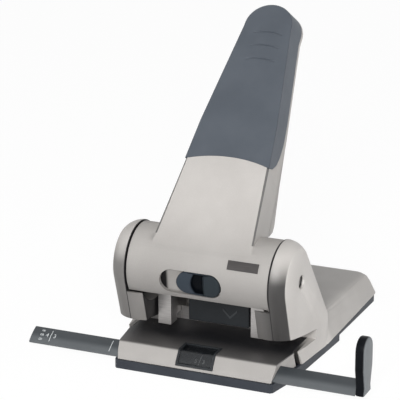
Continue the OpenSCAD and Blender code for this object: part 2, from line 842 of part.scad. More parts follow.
module lever_grip() {
    color(slate) difference() {
        intersection() {
            arm_block(-grip_proud, arm_face + grip_proud, arm_back, 0.5);
            grip_zone();
        }
        arm_block(grip_t, arm_face - grip_t, -far, 0);
        for (i = [0:groove_count - 1])
            lever_frame() translate([-groove_l / 2, -arm_face - grip_proud - 2.4,
                tip_z - 3 - i * groove_pitch]) rotate([0, 90, 0])
                cylinder(r = 3, h = groove_l, $fn = coarse);
    }
}

module lever_back_plate() {
    color(dark) arm_block(shell_t + grip_t + 0.15, arm_back + 2.4, arm_back + 0.4, 8);
}

module pivot_sleeve() {
    end = barrel_half_w - shell_t - 0.1;
    color(steel) difference() {
        pivot_rod(sleeve_r, -end, end, medium);
        pivot_rod(shaft_r + run_gap, -far, far, medium);
    }
}

module cam() {
    across(hole_x - cam_w / 2, hole_x + cam_w / 2) translate([pivot_y, pivot_z]) difference() {
        union() {
            circle(r = cam_hub_r, $fn = medium);
            translate([pivot_reach, cam_rise]) circle(r = nose_r, $fn = medium);
            polygon([[-2, 2.8], [pivot_reach, cam_rise - nose_r + 0.1],
                [pivot_reach, cam_rise + nose_r - 0.1], [-2, cam_hub_r - 0.4]]);
        }
        circle(r = sleeve_r + 0.03, $fn = medium);
    }
}

module cam_left() { color(steel) mirror([1, 0, 0]) cam(); }
module cam_right() { color(steel) cam(); }

module badge_plate() {
    half_a = badge_h / 2 / barrel_r * 180 / PI;
    color("#6f6a6a") intersection() {
        difference() {
            pivot_rod(barrel_r + 0.5, badge_x, badge_x + badge_l);
            pivot_rod(barrel_r + 0.02, badge_x - 1, badge_x + badge_l + 1);
        }
        at_pivot() across(0, 100) polygon([[0, 0],
            [-40 * cos(badge_rise - half_a), 40 * sin(badge_rise - half_a)],
            [-40 * cos(badge_rise + half_a), 40 * sin(badge_rise + half_a)]]);
    }
}

// A long round-ended block on the barrel's front, from a depth outwards
module rounded_block(x0, x1, r, from, to) {
    barrel_frame(-window_drop) translate([0, 0, from]) linear_extrude(to - from) union() {
        translate([x0 + r, 0]) circle(r = r, $fn = medium);
        translate([x1 - r, 0]) circle(r = r, $fn = medium);
        translate([x0 + r, -r]) square([x1 - x0 - 2 * r, 2 * r]);
    }
}

module window_cut(r, from) {
    rounded_block(window_left, window_right, r, from, barrel_r + 6);
}

module slider_recess() {
    color(silver) difference() {
        intersection() {
            rounded_block(window_left - 2.4, window_right + 2.4, window_h / 2 + 2.4,
                recess_floor, barrel_r);
            pivot_rod(barrel_r - shell_t - seat, -far, far);
        }
        window_cut(window_h / 2, recess_floor + recess_floor_t);
        barrel_frame(-window_drop)
            translate([stem_x - slider_travel - stem_half_l - clear, -stem_half_h - clear,
                recess_floor - 1])
            cube([slider_travel + 2 * (stem_half_l + clear), 2 * (stem_half_h + clear), 10]);
    }
}

module lock_slider() {
    low = recess_floor + recess_floor_t + 0.1;
    color(dark) {
        difference() {
            rounded_block(slider_left, slider_right, slider_r, low, barrel_r - 0.6);
            barrel_frame(-window_drop) translate([step_x - 3, -far, barrel_r - 1.4])
                cube([3, 2 * far, 10]);
        }
        intersection() {
            rounded_block(slider_left, slider_right, slider_r, low, barrel_r + 1);
            barrel_frame(-window_drop) translate([step_x, -far, 0]) cube([far, 2 * far, far]);
        }
        barrel_frame(-window_drop) translate([stem_x - stem_half_l, -stem_half_h, recess_floor - 0.1])
            cube([2 * stem_half_l, 2 * stem_half_h, low - recess_floor + 0.5]);
    }
}

module lock_tongue() {
    color(steel) barrel_frame(-window_drop)
        translate([window_left + slider_travel - 10.8, -tongue_w / 2, recess_floor - 0.15 - tongue_t])
        cube([tongue_l, tongue_w, tongue_t]);
}

// ---- Punches

module punch_pin() {
    translate([hole_x, 0, 0]) {
        translate([0, 0, pin_low]) cylinder(r = pin_r, h = head_top - pin_low, $fn = medium);
        translate([0, 0, head_top - head_h]) cylinder(r = head_r, h = head_h, $fn = medium);
    }
}

module punch_pin_left() { color(steel) mirror([1, 0, 0]) punch_pin(); }
module punch_pin_right() { color(steel) punch_pin(); }

module spring_collar() {
    top = head_top - head_h - seat;
    translate([hole_x, 0, 0]) rotate_extrude($fn = medium) polygon([
        [pin_r + 0.03, top - collar_h], [coil_r - wire_d / 2 - 0.25, top - collar_h],
        [coil_r - wire_d / 2 - 0.25, top - 0.6], [coil_r + wire_d / 2, top - 0.6],
        [coil_r + wire_d / 2, top], [pin_r + 0.03, top]]);
}

module spring_collar_left() { color(brass) mirror([1, 0, 0]) spring_collar(); }
module spring_collar_right() { color(brass) spring_collar(); }

// Centre line of a return spring: the first and last turn lie closer
coil_low = spring_low + wire_d / 2 + 0.05;
coil_high = spring_high - 0.6 - wire_d / 2 - 0.1;
ring_count = 8 * coil_turns;
end_pitch = wire_d + 0.5;
mid_pitch = (coil_high - coil_low - 2 * end_pitch) / (coil_turns - 2);
function coil_rise(t) = t < 1 ? end_pitch * t
    : t > coil_turns - 1 ? coil_high - coil_low - end_pitch * (coil_turns - t)
    : end_pitch + mid_pitch * (t - 1);
function coil_point(t) = [coil_r * cos(360 * t), coil_r * sin(360 * t), coil_low + coil_rise(t)];
function unit(v) = v / norm(v);
function ring(i) =
    let (t = i / 8, p = coil_point(t), out = unit([p[0], p[1], 0]),
        along = unit(coil_point(t + 0.01) - coil_point(t - 0.01)), up = cross(along, out))
    [for (k = [0:5]) p + wire_d / 2 * (cos(60 * k) * out + sin(60 * k) * up)];
self_gap = min([for (i = [0:ring_count], j = [i + 5:1:ring_count])
    norm(coil_point(i / 8) - coil_point(j / 8))]) - wire_d;
echo(least_gap_between_spring_turns = self_gap);

module return_spring() {
    n = ring_count;
    translate([hole_x, 0, 0]) polyhedron(
        points = [for (i = [0:n]) each ring(i)],
        faces = concat(
            [for (i = [0:n - 1], k = [0:5]) [6 * i + k, 6 * i + (k + 1) % 6, 6 * (i + 1) + k]],
            [for (i = [0:n - 1], k = [0:5])
                [6 * i + (k + 1) % 6, 6 * (i + 1) + (k + 1) % 6, 6 * (i + 1) + k]],
            [for (k = [1:4]) [0, k + 1, k]],
            [for (k = [1:4]) [6 * n, 6 * n + k, 6 * n + k + 1]]));
}

module return_spring_left() { color(steel) mirror([1, 0, 0]) return_spring(); }
module return_spring_right() { color(steel) return_spring(); }

// ---- Guide bar

module guide_bar() {
    color(dark) across(stop_x - bar_end - bar_l, stop_x - bar_end) bar_section(0);
}

module end_stop() {
    top_r = stop_w / 2;
    low_r = 5.4;
    low_z = 6.8;
    neck_z = 12;
    wide_z = 25;
    color(dark) across(stop_x, stop_x + stop_t) union() {
        translate([stop_y, stop_z - top_r]) circle(r = top_r, $fn = fine);
        translate([stop_y, wide_z]) circle(r = top_r, $fn = fine);
        translate([stop_y - top_r, wide_z]) square([2 * top_r, stop_z - top_r - wide_z]);
        polygon([[stop_y - top_r + 0.4, wide_z - 2.5], [stop_y - low_r, neck_z],
            [stop_y - low_r - 1, low_z], [stop_y + low_r + 1, low_z], [stop_y + low_r, neck_z],
            [stop_y + top_r - 0.4, wide_z - 2.5]]);
    }
}

housing();
deck();
chip_tray();
base_plate();
chassis_plate();
punch_frame_left();
punch_frame_right();
die_bushes();
paper_backstop();
centre_cover();
pivot_shaft();
pivot_screws();
pivot_washers();
tray_hinge_pin();
bar_clip();
frame_screws();
chassis_screws();
base_screws();
window_frame();
window_lens();
lever_shell();
lever_grip();
lever_back_plate();
pivot_sleeve();
cam_left();
cam_right();
badge_plate();
slider_recess();
lock_slider();
lock_tongue();
punch_pin_left();
punch_pin_right();
spring_collar_left();
spring_collar_right();
return_spring_left();
return_spring_right();
guide_bar();
end_stop();
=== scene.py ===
import math

import bmesh
import bpy
from mathutils import Matrix, Vector


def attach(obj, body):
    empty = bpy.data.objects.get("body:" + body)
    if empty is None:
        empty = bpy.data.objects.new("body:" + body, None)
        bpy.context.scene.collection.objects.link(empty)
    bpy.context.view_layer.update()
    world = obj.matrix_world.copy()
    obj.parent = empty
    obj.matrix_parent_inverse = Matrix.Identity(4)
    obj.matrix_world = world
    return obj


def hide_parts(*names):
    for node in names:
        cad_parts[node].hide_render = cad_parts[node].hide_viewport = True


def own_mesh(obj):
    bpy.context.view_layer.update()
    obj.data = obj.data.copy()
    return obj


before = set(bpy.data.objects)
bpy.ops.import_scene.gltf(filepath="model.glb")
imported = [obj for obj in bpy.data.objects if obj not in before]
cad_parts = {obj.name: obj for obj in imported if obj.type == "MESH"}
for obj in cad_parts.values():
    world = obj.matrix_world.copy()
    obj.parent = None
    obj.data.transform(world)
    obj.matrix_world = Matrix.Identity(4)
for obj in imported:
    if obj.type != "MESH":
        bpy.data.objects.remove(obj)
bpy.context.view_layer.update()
print("frame loaded")

# Everything below is drawn in millimetres and made metres when it is placed
place = {
    "pivotY": -14.6,
    "pivotZ": 64.8,
    "lean": 44,          # of the raised lever, from upright
    "barrelRadius": 24.65,
    "windowDrop": 6.5,   # of the slider's window, below the foremost line
    "barY": -36.3,
    "barZ": 10.1,
    "barTilt": 32,
}
pivotPlace = Matrix.Translation((0, place["pivotY"], place["pivotZ"]))
leverPlace = pivotPlace @ Matrix.Rotation(math.radians(-place["lean"]), 4, "X")
windowPlace = pivotPlace @ Matrix.Rotation(math.radians(90 + place["windowDrop"]), 4, "X")
barPlace = Matrix.Translation((0, place["barY"], place["barZ"])) @ Matrix.Rotation(
    math.radians(place["barTilt"]), 4, "X")

# The lever's arm narrows in two steps. Its heights run along it from the pivot.
arm = {
    "face": -24.6,       # its flat front
    "rootHalf": 34,      # half widths
    "midHalf": 25.9,
    "tipHalf": 16,
    "mid": 91.6,
    "tip": 164,          # height of the round end's centre
    "tipLean": 14,
}


def armHalfWidth(height):
    if height < arm["mid"]:
        return arm["rootHalf"] + (arm["midHalf"] - arm["rootHalf"]) * height / arm["mid"]
    share = (height - arm["mid"]) / (arm["tip"] - arm["mid"])
    return arm["midHalf"] + (arm["tipHalf"] - arm["midHalf"]) * share


# One socket of a node tree. Sums on values add Math nodes, and node() adds any other node.
class Wire:
    def __init__(self, tree, socket=None):
        self.tree = tree
        self.socket = socket

    def node(self, kind, settings=None, inputs=None, output=0):
        made = self.tree.nodes.new(kind)
        for name, value in (settings or {}).items():
            setattr(made, name, value)
        for name, value in (inputs or {}).items():
            if isinstance(value, Wire):
                self.tree.links.new(value.socket, made.inputs[name])
            else:
                made.inputs[name].default_value = value
        return Wire(self.tree, made.outputs[output])

    def reckon(self, operation, first, second):
        return self.node("ShaderNodeMath", {"operation": operation}, {0: first, 1: second})

    def __add__(self, other):
        return self.reckon("ADD", self, other)

    __radd__ = __add__

    def __mul__(self, other):
        return self.reckon("MULTIPLY", self, other)

    __rmul__ = __mul__

    def __sub__(self, other):
        return self.reckon("SUBTRACT", self, other)

    def __rsub__(self, other):
        return self.reckon("SUBTRACT", other, self)

    def __abs__(self):
        return self.reckon("ABSOLUTE", self, 0)

    def most(self, other):  # the larger of the two
        return self.reckon("MAXIMUM", self, other)

    def mix(self, first, second):  # this wire is the factor between two colours
        return self.node("ShaderNodeMix", {"data_type": "RGBA"}, {0: self, 6: first, 7: second}, 2)

    def ramp(self, low, high, start=0.0, end=1.0):  # from one value to another, smoothly
        return self.node("ShaderNodeMapRange", {"interpolation_type": "SMOOTHSTEP"},
                         {0: self, 1: low, 2: high, 3: start, 4: end})

    def at(self):
        return self.node("ShaderNodeTexCoord", output="Object")

    def axis(self, letter):  # one coordinate of the surface in millimetres
        return self.node("ShaderNodeSeparateXYZ", None, {0: self.at()}, letter) * 1000

    def noise(self, size, detail=3.0, rough=0.5, stretch=(1, 1, 1)):  # size in millimetres
        spot = self.node("ShaderNodeMapping", None,
                         {"Vector": self.at(), "Scale": [1000 / size * part for part in stretch]})
        return self.node("ShaderNodeTexNoise", None,
                         {"Vector": spot, "Scale": 1.0, "Detail": detail, "Roughness": rough})

    def bump(self, height, strength, reach=0.0001):
        return self.node("ShaderNodeBump", None,
                         {"Height": height, "Strength": strength, "Distance": reach})

    def aroundPivot(self, inner, outer):  # 0 within one radius about the pivot, 1 past the other
        outY = self.axis("Y") - place["pivotY"]
        outZ = self.axis("Z") - place["pivotZ"]
        return (outY * outY + outZ * outZ).ramp(inner ** 2, outer ** 2)


def tint(red, green, blue):  # a colour as a paint chip shows it, made linear
    def straight(level):
        level /= 255
        return level / 12.92 if level < 0.04045 else ((level + 0.055) / 1.055) ** 2.4
    return (straight(red), straight(green), straight(blue), 1.0)


def newFinish(name, dress, fixed=None):
    made = bpy.data.materials.new(name)
    made.use_nodes = True
    tree = made.node_tree
    shader = tree.nodes["Principled BSDF"]
    for socket, value in (fixed or {}).items():
        shader.inputs[socket].default_value = value
    for socket, wire in dress(Wire(tree)).items():
        tree.links.new(wire.socket, shader.inputs[socket])
    return made


silverLook = {
    "light": tint(204, 200, 196),
    "deep": tint(196, 192, 188),
    "flake": tint(222, 219, 216),
    "shade": tint(28, 27, 28),
    "deckShade": tint(30, 30, 33),
    "cloud": 38,         # sizes of the paint's patterns
    "deckCloud": 30,
    "flakeSize": 0.35,
    "orangePeel": 1.6,
    "rough": 0.42,
    "deckRough": 0.36,
}


def silverColour(wire, cloudSize):  # the paint's colour, and where its flakes lie
    cloud = wire.noise(cloudSize, 3).ramp(0.35, 0.65)
    flakes = wire.noise(silverLook["flakeSize"], 1, 0.6).ramp(0.56, 0.72)
    colour = cloud.mix(silverLook["light"], silverLook["deep"])
    return (flakes * 0.35).mix(colour, silverLook["flake"]), flakes


def silverRelief(wire, flakes):
    return wire.bump(wire.noise(silverLook["orangePeel"], 2) + flakes * 0.4, 0.12)


def silverPaint(wire, shade):
    colour, flakes = silverColour(wire, silverLook["cloud"])
    return {
        "Base Color": shade.mix(colour, silverLook["shade"]),
        "Roughness": silverLook["rough"] + wire.noise(9, 3) * 0.1 - flakes * 0.05,
        "Normal": silverRelief(wire, flakes),
    }


# Painted shade in the silver: from and to along an axis, and how deep at either end
housingShade = {
    "seam": 48.7,                          # the faces beside the barrel
    "seamWide": (0.25, 0.4),
    "seamBack": (10, 14, 1, 0),
    "legInside": (38.1, 38.5, 1, 0),
    "legBack": (7, 9, 1, 0),
    "rimAcross": (38.5, 54, 0.8, 0.94),    # the rounded rims and the legs' fronts, painted dark as a reflection of the deck
    "rimOutside": (57.9, 58.5, 1, 0),
    "rimLeft": (-1, 1, 0.78, 1),
    "rimTop": (68, 86, 1, 0),
    "rimBack": (-8, 12, 1, 0),
    "roofSlope": 0.06,
    "roof": (26.4, 27.4, 0.18, 0.34),      # the hood's sides and its top
    "hood": (36, 42),
    "bore": (4.7, 4.9),                    # the holes of the pivot screws
    "boreStart": (50, 51),
    "boreEnd": (59.4, 60.6, 1, 0),
}
# Painted shade on the lever's silver, given the same way
shellShade = {
    "under": (46, 112, 0.56, 0),           # painted shade under the barrel and on the arm's root
    "ends": (47.45, 47.6),                 # painted shade on the barrel's end faces
    "matter": 0.12,                        # added roughness
    "walls": (70, 190, 0.3, 0.16),         # the arm's side walls, painted darker as their shaded side
    "recess": (-22.2, -19.8, 1, 0.45),     # painted shadow at the left end of the slider's recess
}
# How dark the deck is painted: its table is partly a darker finish and partly painted shade
deckShade = {
    "nose": 0.28,
    "table": 0.55,
    "tableBack": 0.17,                     # painted shade, more towards the back under the barrel
    "rise": (15.3, 16.4),
    "back": (-38, -12),
}


# The housing's silver, with its painted shade and painted reflection
def housingPaint(wire):
    shade = housingShade
    across, back, height = (wire.axis(letter) for letter in "XYZ")
    side = abs(across)
    seam = (1 - abs(side - shade["seam"]).ramp(*shade["seamWide"])) * back.ramp(*shade["seamBack"])
    legs = side.ramp(*shade["legInside"]) * back.ramp(*shade["legBack"])
    rims = side.ramp(*shade["rimOutside"]) * side.ramp(*shade["rimAcross"])
    rims = rims * across.ramp(*shade["rimLeft"])
    rims = rims * height.ramp(*shade["rimTop"]) * back.ramp(*shade["rimBack"])
    hood = (height + back * shade["roofSlope"]).ramp(*shade["roof"]) * back.ramp(*shade["hood"])
    bores = (1 - wire.aroundPivot(*shade["bore"])) * side.ramp(*shade["boreStart"])
    bores = bores * side.ramp(*shade["boreEnd"])
    return silverPaint(wire, seam.most(legs).most(bores).most(rims).most(hood))


# The lever's silver, with painted shade downwards and on the barrel's ends
def shellPaint(wire):
    under = wire.axis("Z").ramp(*shellShade["under"])
    paint = silverPaint(wire, under.most(abs(wire.axis("X")).ramp(*shellShade["ends"])))
    paint["Roughness"] = paint["Roughness"] + shellShade["matter"]
    return paint


# The arm's side walls, a darker copy of the silver as painted shade
def wallPaint(wire):
    return silverPaint(wire, wire.axis("Z").ramp(*shellShade["walls"]))


# The slider's recess, with a painted shadow at its left end
def recessPaint(wire):
    return silverPaint(wire, wire.axis("X").ramp(*shellShade["recess"]))


def deckPaint(wire):
    rise = wire.axis("Z").ramp(*deckShade["rise"])
    back = wire.axis("Y").ramp(*deckShade["back"])
    shade = deckShade["nose"] + rise * (deckShade["table"] + back * deckShade["tableBack"])
    colour, flakes = silverColour(wire, silverLook["deckCloud"])
    return {
        "Base Color": shade.mix(colour, silverLook["deckShade"]),
        "Roughness": silverLook["deckRough"] + wire.noise(9, 3) * 0.1,
        "Normal": silverRelief(wire, flakes),
    }


def moulded(dark, pale, grain=0.5, relief=0.25, rough=0.5):
    def dress(wire):
        return {
            "Base Color": wire.noise(26, 3).ramp(0.3, 0.7).mix(dark, pale),
            "Roughness": rough - 0.05 + wire.noise(7, 3) * 0.1,
            "Normal": wire.bump(wire.noise(grain, 2), relief),
        }
    return dress


def drawnSteel(dark, pale, rough):  # fine lines along the piece
    def dress(wire):
        lines = wire.noise(0.5, 2, 0.6, (0.05, 1, 1))
        return {
            "Base Color": lines.ramp(0.3, 0.7).mix(dark, pale),
            "Roughness": rough + wire.noise(5, 2) * 0.12,
            "Normal": wire.bump(lines, 0.12),
        }
    return dress


def glossyPlastic(wire, colour, rough, vary=0.1, grain=0.6, relief=0.1):
    return {
        "Base Color": colour,
        "Roughness": rough + wire.noise(6, 3) * vary,
        "Normal": wire.bump(wire.noise(grain, 2), relief),
    }


def sliderLook(wire):  # its right half is darker than the left; the scoop's near-black is painted shade
    halves = wire.axis("X").ramp(1, 4).mix(tint(56, 63, 71), tint(46, 52, 56))
    colour = wire.aroundPivot(22.6, 23.9).mix(tint(5, 8, 12), halves)
    return glossyPlastic(wire, colour, 0.32, vary=0.08)


def stopLook(wire):  # its outer side is painted paler than the rest, as a painted reflection
    dark = wire.noise(9, 3).ramp(0.3, 0.7).mix(tint(12, 14, 18), tint(18, 20, 24))
    return glossyPlastic(wire, wire.axis("X").ramp(112.2, 113.3).mix(dark, tint(126, 130, 133)), 0.3)


def barLook(wire):  # its rear half is darker than the front half
    halves = wire.axis("Z").ramp(9.0, 11.5).mix(tint(92, 96, 99), tint(52, 57, 61))
    worn = wire.noise(20, 3).ramp(0.3, 0.7) * 0.25
    return glossyPlastic(wire, worn.mix(halves, tint(70, 74, 78)), 0.38, grain=0.4, relief=0.12)


def screwLook(wire):  # dark in its hexagon as painted shade, with a bright rim as a painted highlight
    rim = wire.aroundPivot(1.6, 2.0)
    return {
        "Base Color": rim.mix(tint(14, 14, 15), tint(150, 148, 146)),
        "Metallic": rim * 0.6,
        "Roughness": 0.35 + wire.noise(4, 2) * 0.1,
    }


def windowLook(wire):
    return {
        "Base Color": wire.noise(14, 2).mix(tint(26, 29, 33), tint(34, 38, 42)),
        "Roughness": 0.08 + wire.noise(9, 2) * 0.06,
    }


def inkLook(wire):
    return {
        "Base Color": wire.noise(1.2, 3).ramp(0.3, 0.7).mix(tint(196, 200, 202), tint(226, 229, 230)),
        "Roughness": 0.5 + wire.noise(3, 2) * 0.1,
    }


def glossOf(level):
    return {"Specular IOR Level": level}


paintGloss = {"Metallic": 0.06, **glossOf(0.4)}
silver = newFinish("housingSilver", housingPaint, paintGloss)
wallSilver = newFinish("wallSilver", wallPaint, paintGloss)
deckSilver = newFinish("deckSilver", deckPaint, paintGloss)
shellSilver = newFinish("shellSilver", shellPaint, {"Metallic": 0.06, **glossOf(0.3)})
recessSilver = newFinish("recessSilver", recessPaint, glossOf(0.05))
trayPlastic = newFinish("trayPlastic", moulded(tint(45, 49, 56), tint(53, 57, 64)), glossOf(0.3))
slatePlastic = newFinish("darkPlastic", moulded(tint(33, 36, 39), tint(40, 43, 46)), glossOf(0.3))
gripSoft = newFinish("softGrip", moulded(tint(80, 86, 94), tint(87, 93, 101), grain=0.45,
                                         relief=0.3, rough=0.56), glossOf(0.35))
gripEdgeShade = newFinish("gripEdgeShade", moulded(tint(62, 67, 74), tint(68, 73, 80), grain=0.45,
                                             relief=0.3))
seamShade = newFinish("seamShade", moulded(tint(98, 97, 96), tint(110, 109, 107), relief=0.1))
greyRelief = newFinish("greyRelief", moulded(tint(48, 51, 54), tint(56, 59, 62), relief=0.1,
                                             rough=0.45))
sliderPlastic = newFinish("sliderPlastic", sliderLook, glossOf(0.06))
stopPlastic = newFinish("stopPlastic", stopLook, glossOf(0.06))
barPlastic = newFinish("barPlastic", barLook)
smokedWindow = newFinish("smokedWindow", windowLook, {"Alpha": 0.42, "Coat Weight": 0.6})
whiteInk = newFinish("whiteInk", inkLook)
screwSteel = newFinish("screwSteel", screwLook, glossOf(0.2))
brightSteel = newFinish("brightSteel", drawnSteel(tint(164, 161, 159), tint(182, 179, 177), 0.3),
                        {"Metallic": 0.8})
duskSteel = newFinish("duskSteel", drawnSteel(tint(120, 120, 121), tint(140, 140, 141), 0.34),
                      {"Metallic": 0.8})
darkSteel = newFinish("darkSteel", drawnSteel(tint(44, 44, 46), tint(56, 56, 58), 0.4),
                      {"Metallic": 0.5})
badgeMetal = newFinish("badgeMetal", drawnSteel(tint(56, 53, 53), tint(66, 63, 62), 0.4),
                       {"Metallic": 0.3})
brass = newFinish("brass", drawnSteel(tint(178, 150, 92), tint(196, 168, 108), 0.3),
                  {"Metallic": 0.9})
print("finishes made")


# Edges that turn less than the angle are shaded smooth
def putPiece(name, bm, body, finish, where=Matrix(), replaced=(), angle=32, weld=True):
    if weld:
        bmesh.ops.remove_doubles(bm, verts=bm.verts, dist=0.0005)
        bmesh.ops.recalc_face_normals(bm, faces=bm.faces)
    bmesh.ops.transform(bm, matrix=Matrix.Scale(0.001, 4) @ where, verts=bm.verts)
    mesh = bpy.data.meshes.new(name)
    bm.to_mesh(mesh)
    bm.free()
    mesh.shade_smooth()
    mesh.set_sharp_from_angle(angle=math.radians(angle))
    mesh.materials.append(finish)
    piece = bpy.data.objects.new(name, mesh)
    bpy.context.scene.collection.objects.link(piece)
    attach(piece, body)
    if replaced:
        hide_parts(*replaced)
    return piece


def softenEdges(piece, width, angle=32, clamp=False):
    rounding = piece.modifiers.new("rounding", "BEVEL")
    rounding.width = width / 1000
    rounding.segments = 2
    rounding.limit_method = "ANGLE"
    rounding.angle_limit = math.radians(angle)
    rounding.use_clamp_overlap = clamp
    rounding.harden_normals = True


# A solid's own mesh, merged, in millimetres. Faces within the flat angle are joined.
def weldedCopy(node, where=Matrix(), flat=0):
    bm = bmesh.new()
    bm.from_mesh(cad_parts[node].data)
    bmesh.ops.remove_doubles(bm, verts=bm.verts, dist=0.000002)
    if flat:
        bmesh.ops.dissolve_limit(bm, angle_limit=math.radians(flat), verts=bm.verts,
                                 edges=bm.edges)
    bmesh.ops.transform(bm, matrix=where @ Matrix.Scale(1000, 4), verts=bm.verts)
    return bm


def roundedCopy(name, node, body, finish, width, angle=32, clamp=False):
    piece = putPiece(name, weldedCopy(node, flat=0.4), body, finish, replaced=(node,),
                     angle=angle, weld=False)
    softenEdges(piece, width, angle, clamp)


def faceFrom(bm, points):
    return bm.faces.new([bm.verts.new(point) for point in points])


def drawOut(bm, faces, step):
    made = bmesh.ops.extrude_face_region(bm, geom=faces)["geom"]
    moved = [part for part in made if isinstance(part, bmesh.types.BMVert)]
    bmesh.ops.translate(bm, vec=step, verts=moved)


def roundEdges(bm, edges, width, segments=3, clamp=True):
    return bmesh.ops.bevel(bm, geom=edges, offset=width, affect="EDGES", segments=segments,
                           profile=0.5, material=-1, clamp_overlap=clamp)["faces"]


def arcPoints(centre, radius, start, end, count):
    turns = [math.radians(start + (end - start) * i / count) for i in range(count + 1)]
    return [(centre[0] + radius * math.cos(t), centre[1] + radius * math.sin(t)) for t in turns]


def everyPart(bm):
    return bm.verts[:] + bm.edges[:] + bm.faces[:]


def partsOf(faces):  # with their edges and corners
    verts = dict.fromkeys(vert for face in faces for vert in face.verts)
    edges = dict.fromkeys(edge for face in faces for edge in face.edges)
    return list(verts) + list(edges) + faces


def cutThrough(bm, parts, spot, normal, clear=False):
    bmesh.ops.bisect_plane(bm, geom=parts, dist=0.0001, plane_co=spot, plane_no=normal,
                           clear_outer=clear)


roundedCopy("punchHousing", "housing", "base", silver, 0.3, 20, True)
roundedCopy("deckPlate", "deck", "base", deckSilver, 0.3)
shellSizes = {
    "chamfer": 1.2,      # along both edges of the arm's face
    "bandStart": 9,      # height from which that chamfer is dark
    "cutsAcross": (-44, -38, -28, -24, 16, 20, 38, 44),   # they keep the shading even
    "cutsAlong": (1, 3, 9, 58),
    "wallFrom": 10,      # how far out the arm's side walls start
}


def makeShell():
    shell = shellSizes
    bm = weldedCopy("lever_shell", leverPlace.inverted(), flat=0.1)

    def onRim(vert):
        return (vert.co.z < arm["mid"] + 0.1 and abs(vert.co.y - arm["face"]) < 0.1
                and abs(abs(vert.co.x) - armHalfWidth(vert.co.z)) < 0.06)
    rims = [edge for edge in bm.edges if all(onRim(vert) for vert in edge.verts)
            and abs(edge.verts[0].co.z - edge.verts[1].co.z) > 0.5 * edge.calc_length()]
    for face in roundEdges(bm, rims, shell["chamfer"], 1, False):
        face.material_index = 1
    for x in shell["cutsAcross"]:
        cutThrough(bm, everyPart(bm), (x, 0, 0), (1, 0, 0))
    for z in shell["cutsAlong"]:
        cutThrough(bm, everyPart(bm), (0, 0, z), (0, 0, 1))
    for face in bm.faces:
        centre = face.calc_center_median()
        if face.material_index == 1 and centre.z < shell["bandStart"]:
            face.material_index = 0
        if (abs(face.normal.x) > 0.95 and centre.y > arm["face"] + 0.2
                and shell["wallFrom"] < abs(centre.x) < arm["rootHalf"] + 0.5):
            face.material_index = 2
    piece = putPiece("leverShell", bm, "lever", shellSilver, leverPlace,
                     replaced=("lever_shell",), weld=False, angle=24)
    piece.data.materials.append(seamShade)
    piece.data.materials.append(wallSilver)
    outward = leverPlace.to_3x3() @ Vector((0, -1, 0))
    for polygon in piece.data.polygons:
        if polygon.normal.dot(outward) > 0.9999:
            polygon.use_smooth = False


makeShell()
roundedCopy("sliderRecess", "slider_recess", "lever", recessSilver, 0.3)
print("silver castings made")

gripSizes = {
    "start": 63,         # where its lower edge begins, along the arm
    "bulge": 4.5,        # how far that edge arches upward in the middle
    "proud": 0.4,        # of the arm's face
    "wall": 2.35,
    "depth": 20.4,
    "edgeRound": 1.3,
    "edgeShadeFrom": (12, 64),   # the rounded edges get painted shade further out and up
    # from the face towards the back: the sides end along this line
    "sweep": [(-24.6, 63), (-18.5, 65.5), (-12.6, 71), (-8.7, 78.5), (-6.5, 88), (-4.9, 104),
              (-4.6, 129)],
    "grooves": (158.7, 148.7, 138.7),
    "grooveMid": 1.5,
    "grooveReach": 10,   # half of a groove's length
    "grooveDepth": 0.9,
    "grooveArch": 1.1,
    "grooveLines": (0.8, 0.3, -0.3, -0.8),   # cuts along a groove, from its middle
}


def gripOutline():  # seen from the front, round from the lower left corner
    grip = gripSizes
    low = armHalfWidth(grip["start"]) + grip["proud"]
    mid = arm["midHalf"] + grip["proud"]
    tip = arm["tipHalf"] + grip["proud"]
    steps = 16
    points = [(x, grip["start"] + grip["bulge"] * (1 - (x / low) ** 2))
              for x in [-low + 2 * low * i / steps for i in range(steps + 1)]]
    points += [(mid, arm["mid"]), (tip, arm["tip"] - 0.5)]
    points += arcPoints((0, arm["tip"]), tip, 0, 180, 36)
    return points + [(-tip, arm["tip"] - 0.5), (-mid, arm["mid"])]


def pressGrooves(bm, front):
    grip = gripSizes

    def frontParts():
        return partsOf([face for face in bm.faces if face.normal.y < -0.99])
    for height in grip["grooves"]:
        for off in grip["grooveLines"]:
            cutThrough(bm, frontParts(), (0, 0, height + off), (0, 0, 1))
    for step in range(-5, 6):
        x = grip["grooveMid"] + grip["grooveReach"] * step / 5
        cutThrough(bm, frontParts(), (x, 0, 0), (1, 0, 0))
    outerLine, innerLine = grip["grooveLines"][:2]
    for vert in bm.verts:
        for height in grip["grooves"]:
            off = vert.co.z - height
            along = (vert.co.x - grip["grooveMid"]) / grip["grooveReach"]
            if (abs(off) < outerLine + 0.05 and abs(along) < 1.001
                    and abs(vert.co.y - front) < 0.01):
                fade = max(0, 1 - along ** 2)
                vert.co.z += grip["grooveArch"] * fade
                if abs(off) < innerLine + 0.05:
                    vert.co.y += grip["grooveDepth"] * fade ** 0.4
                break


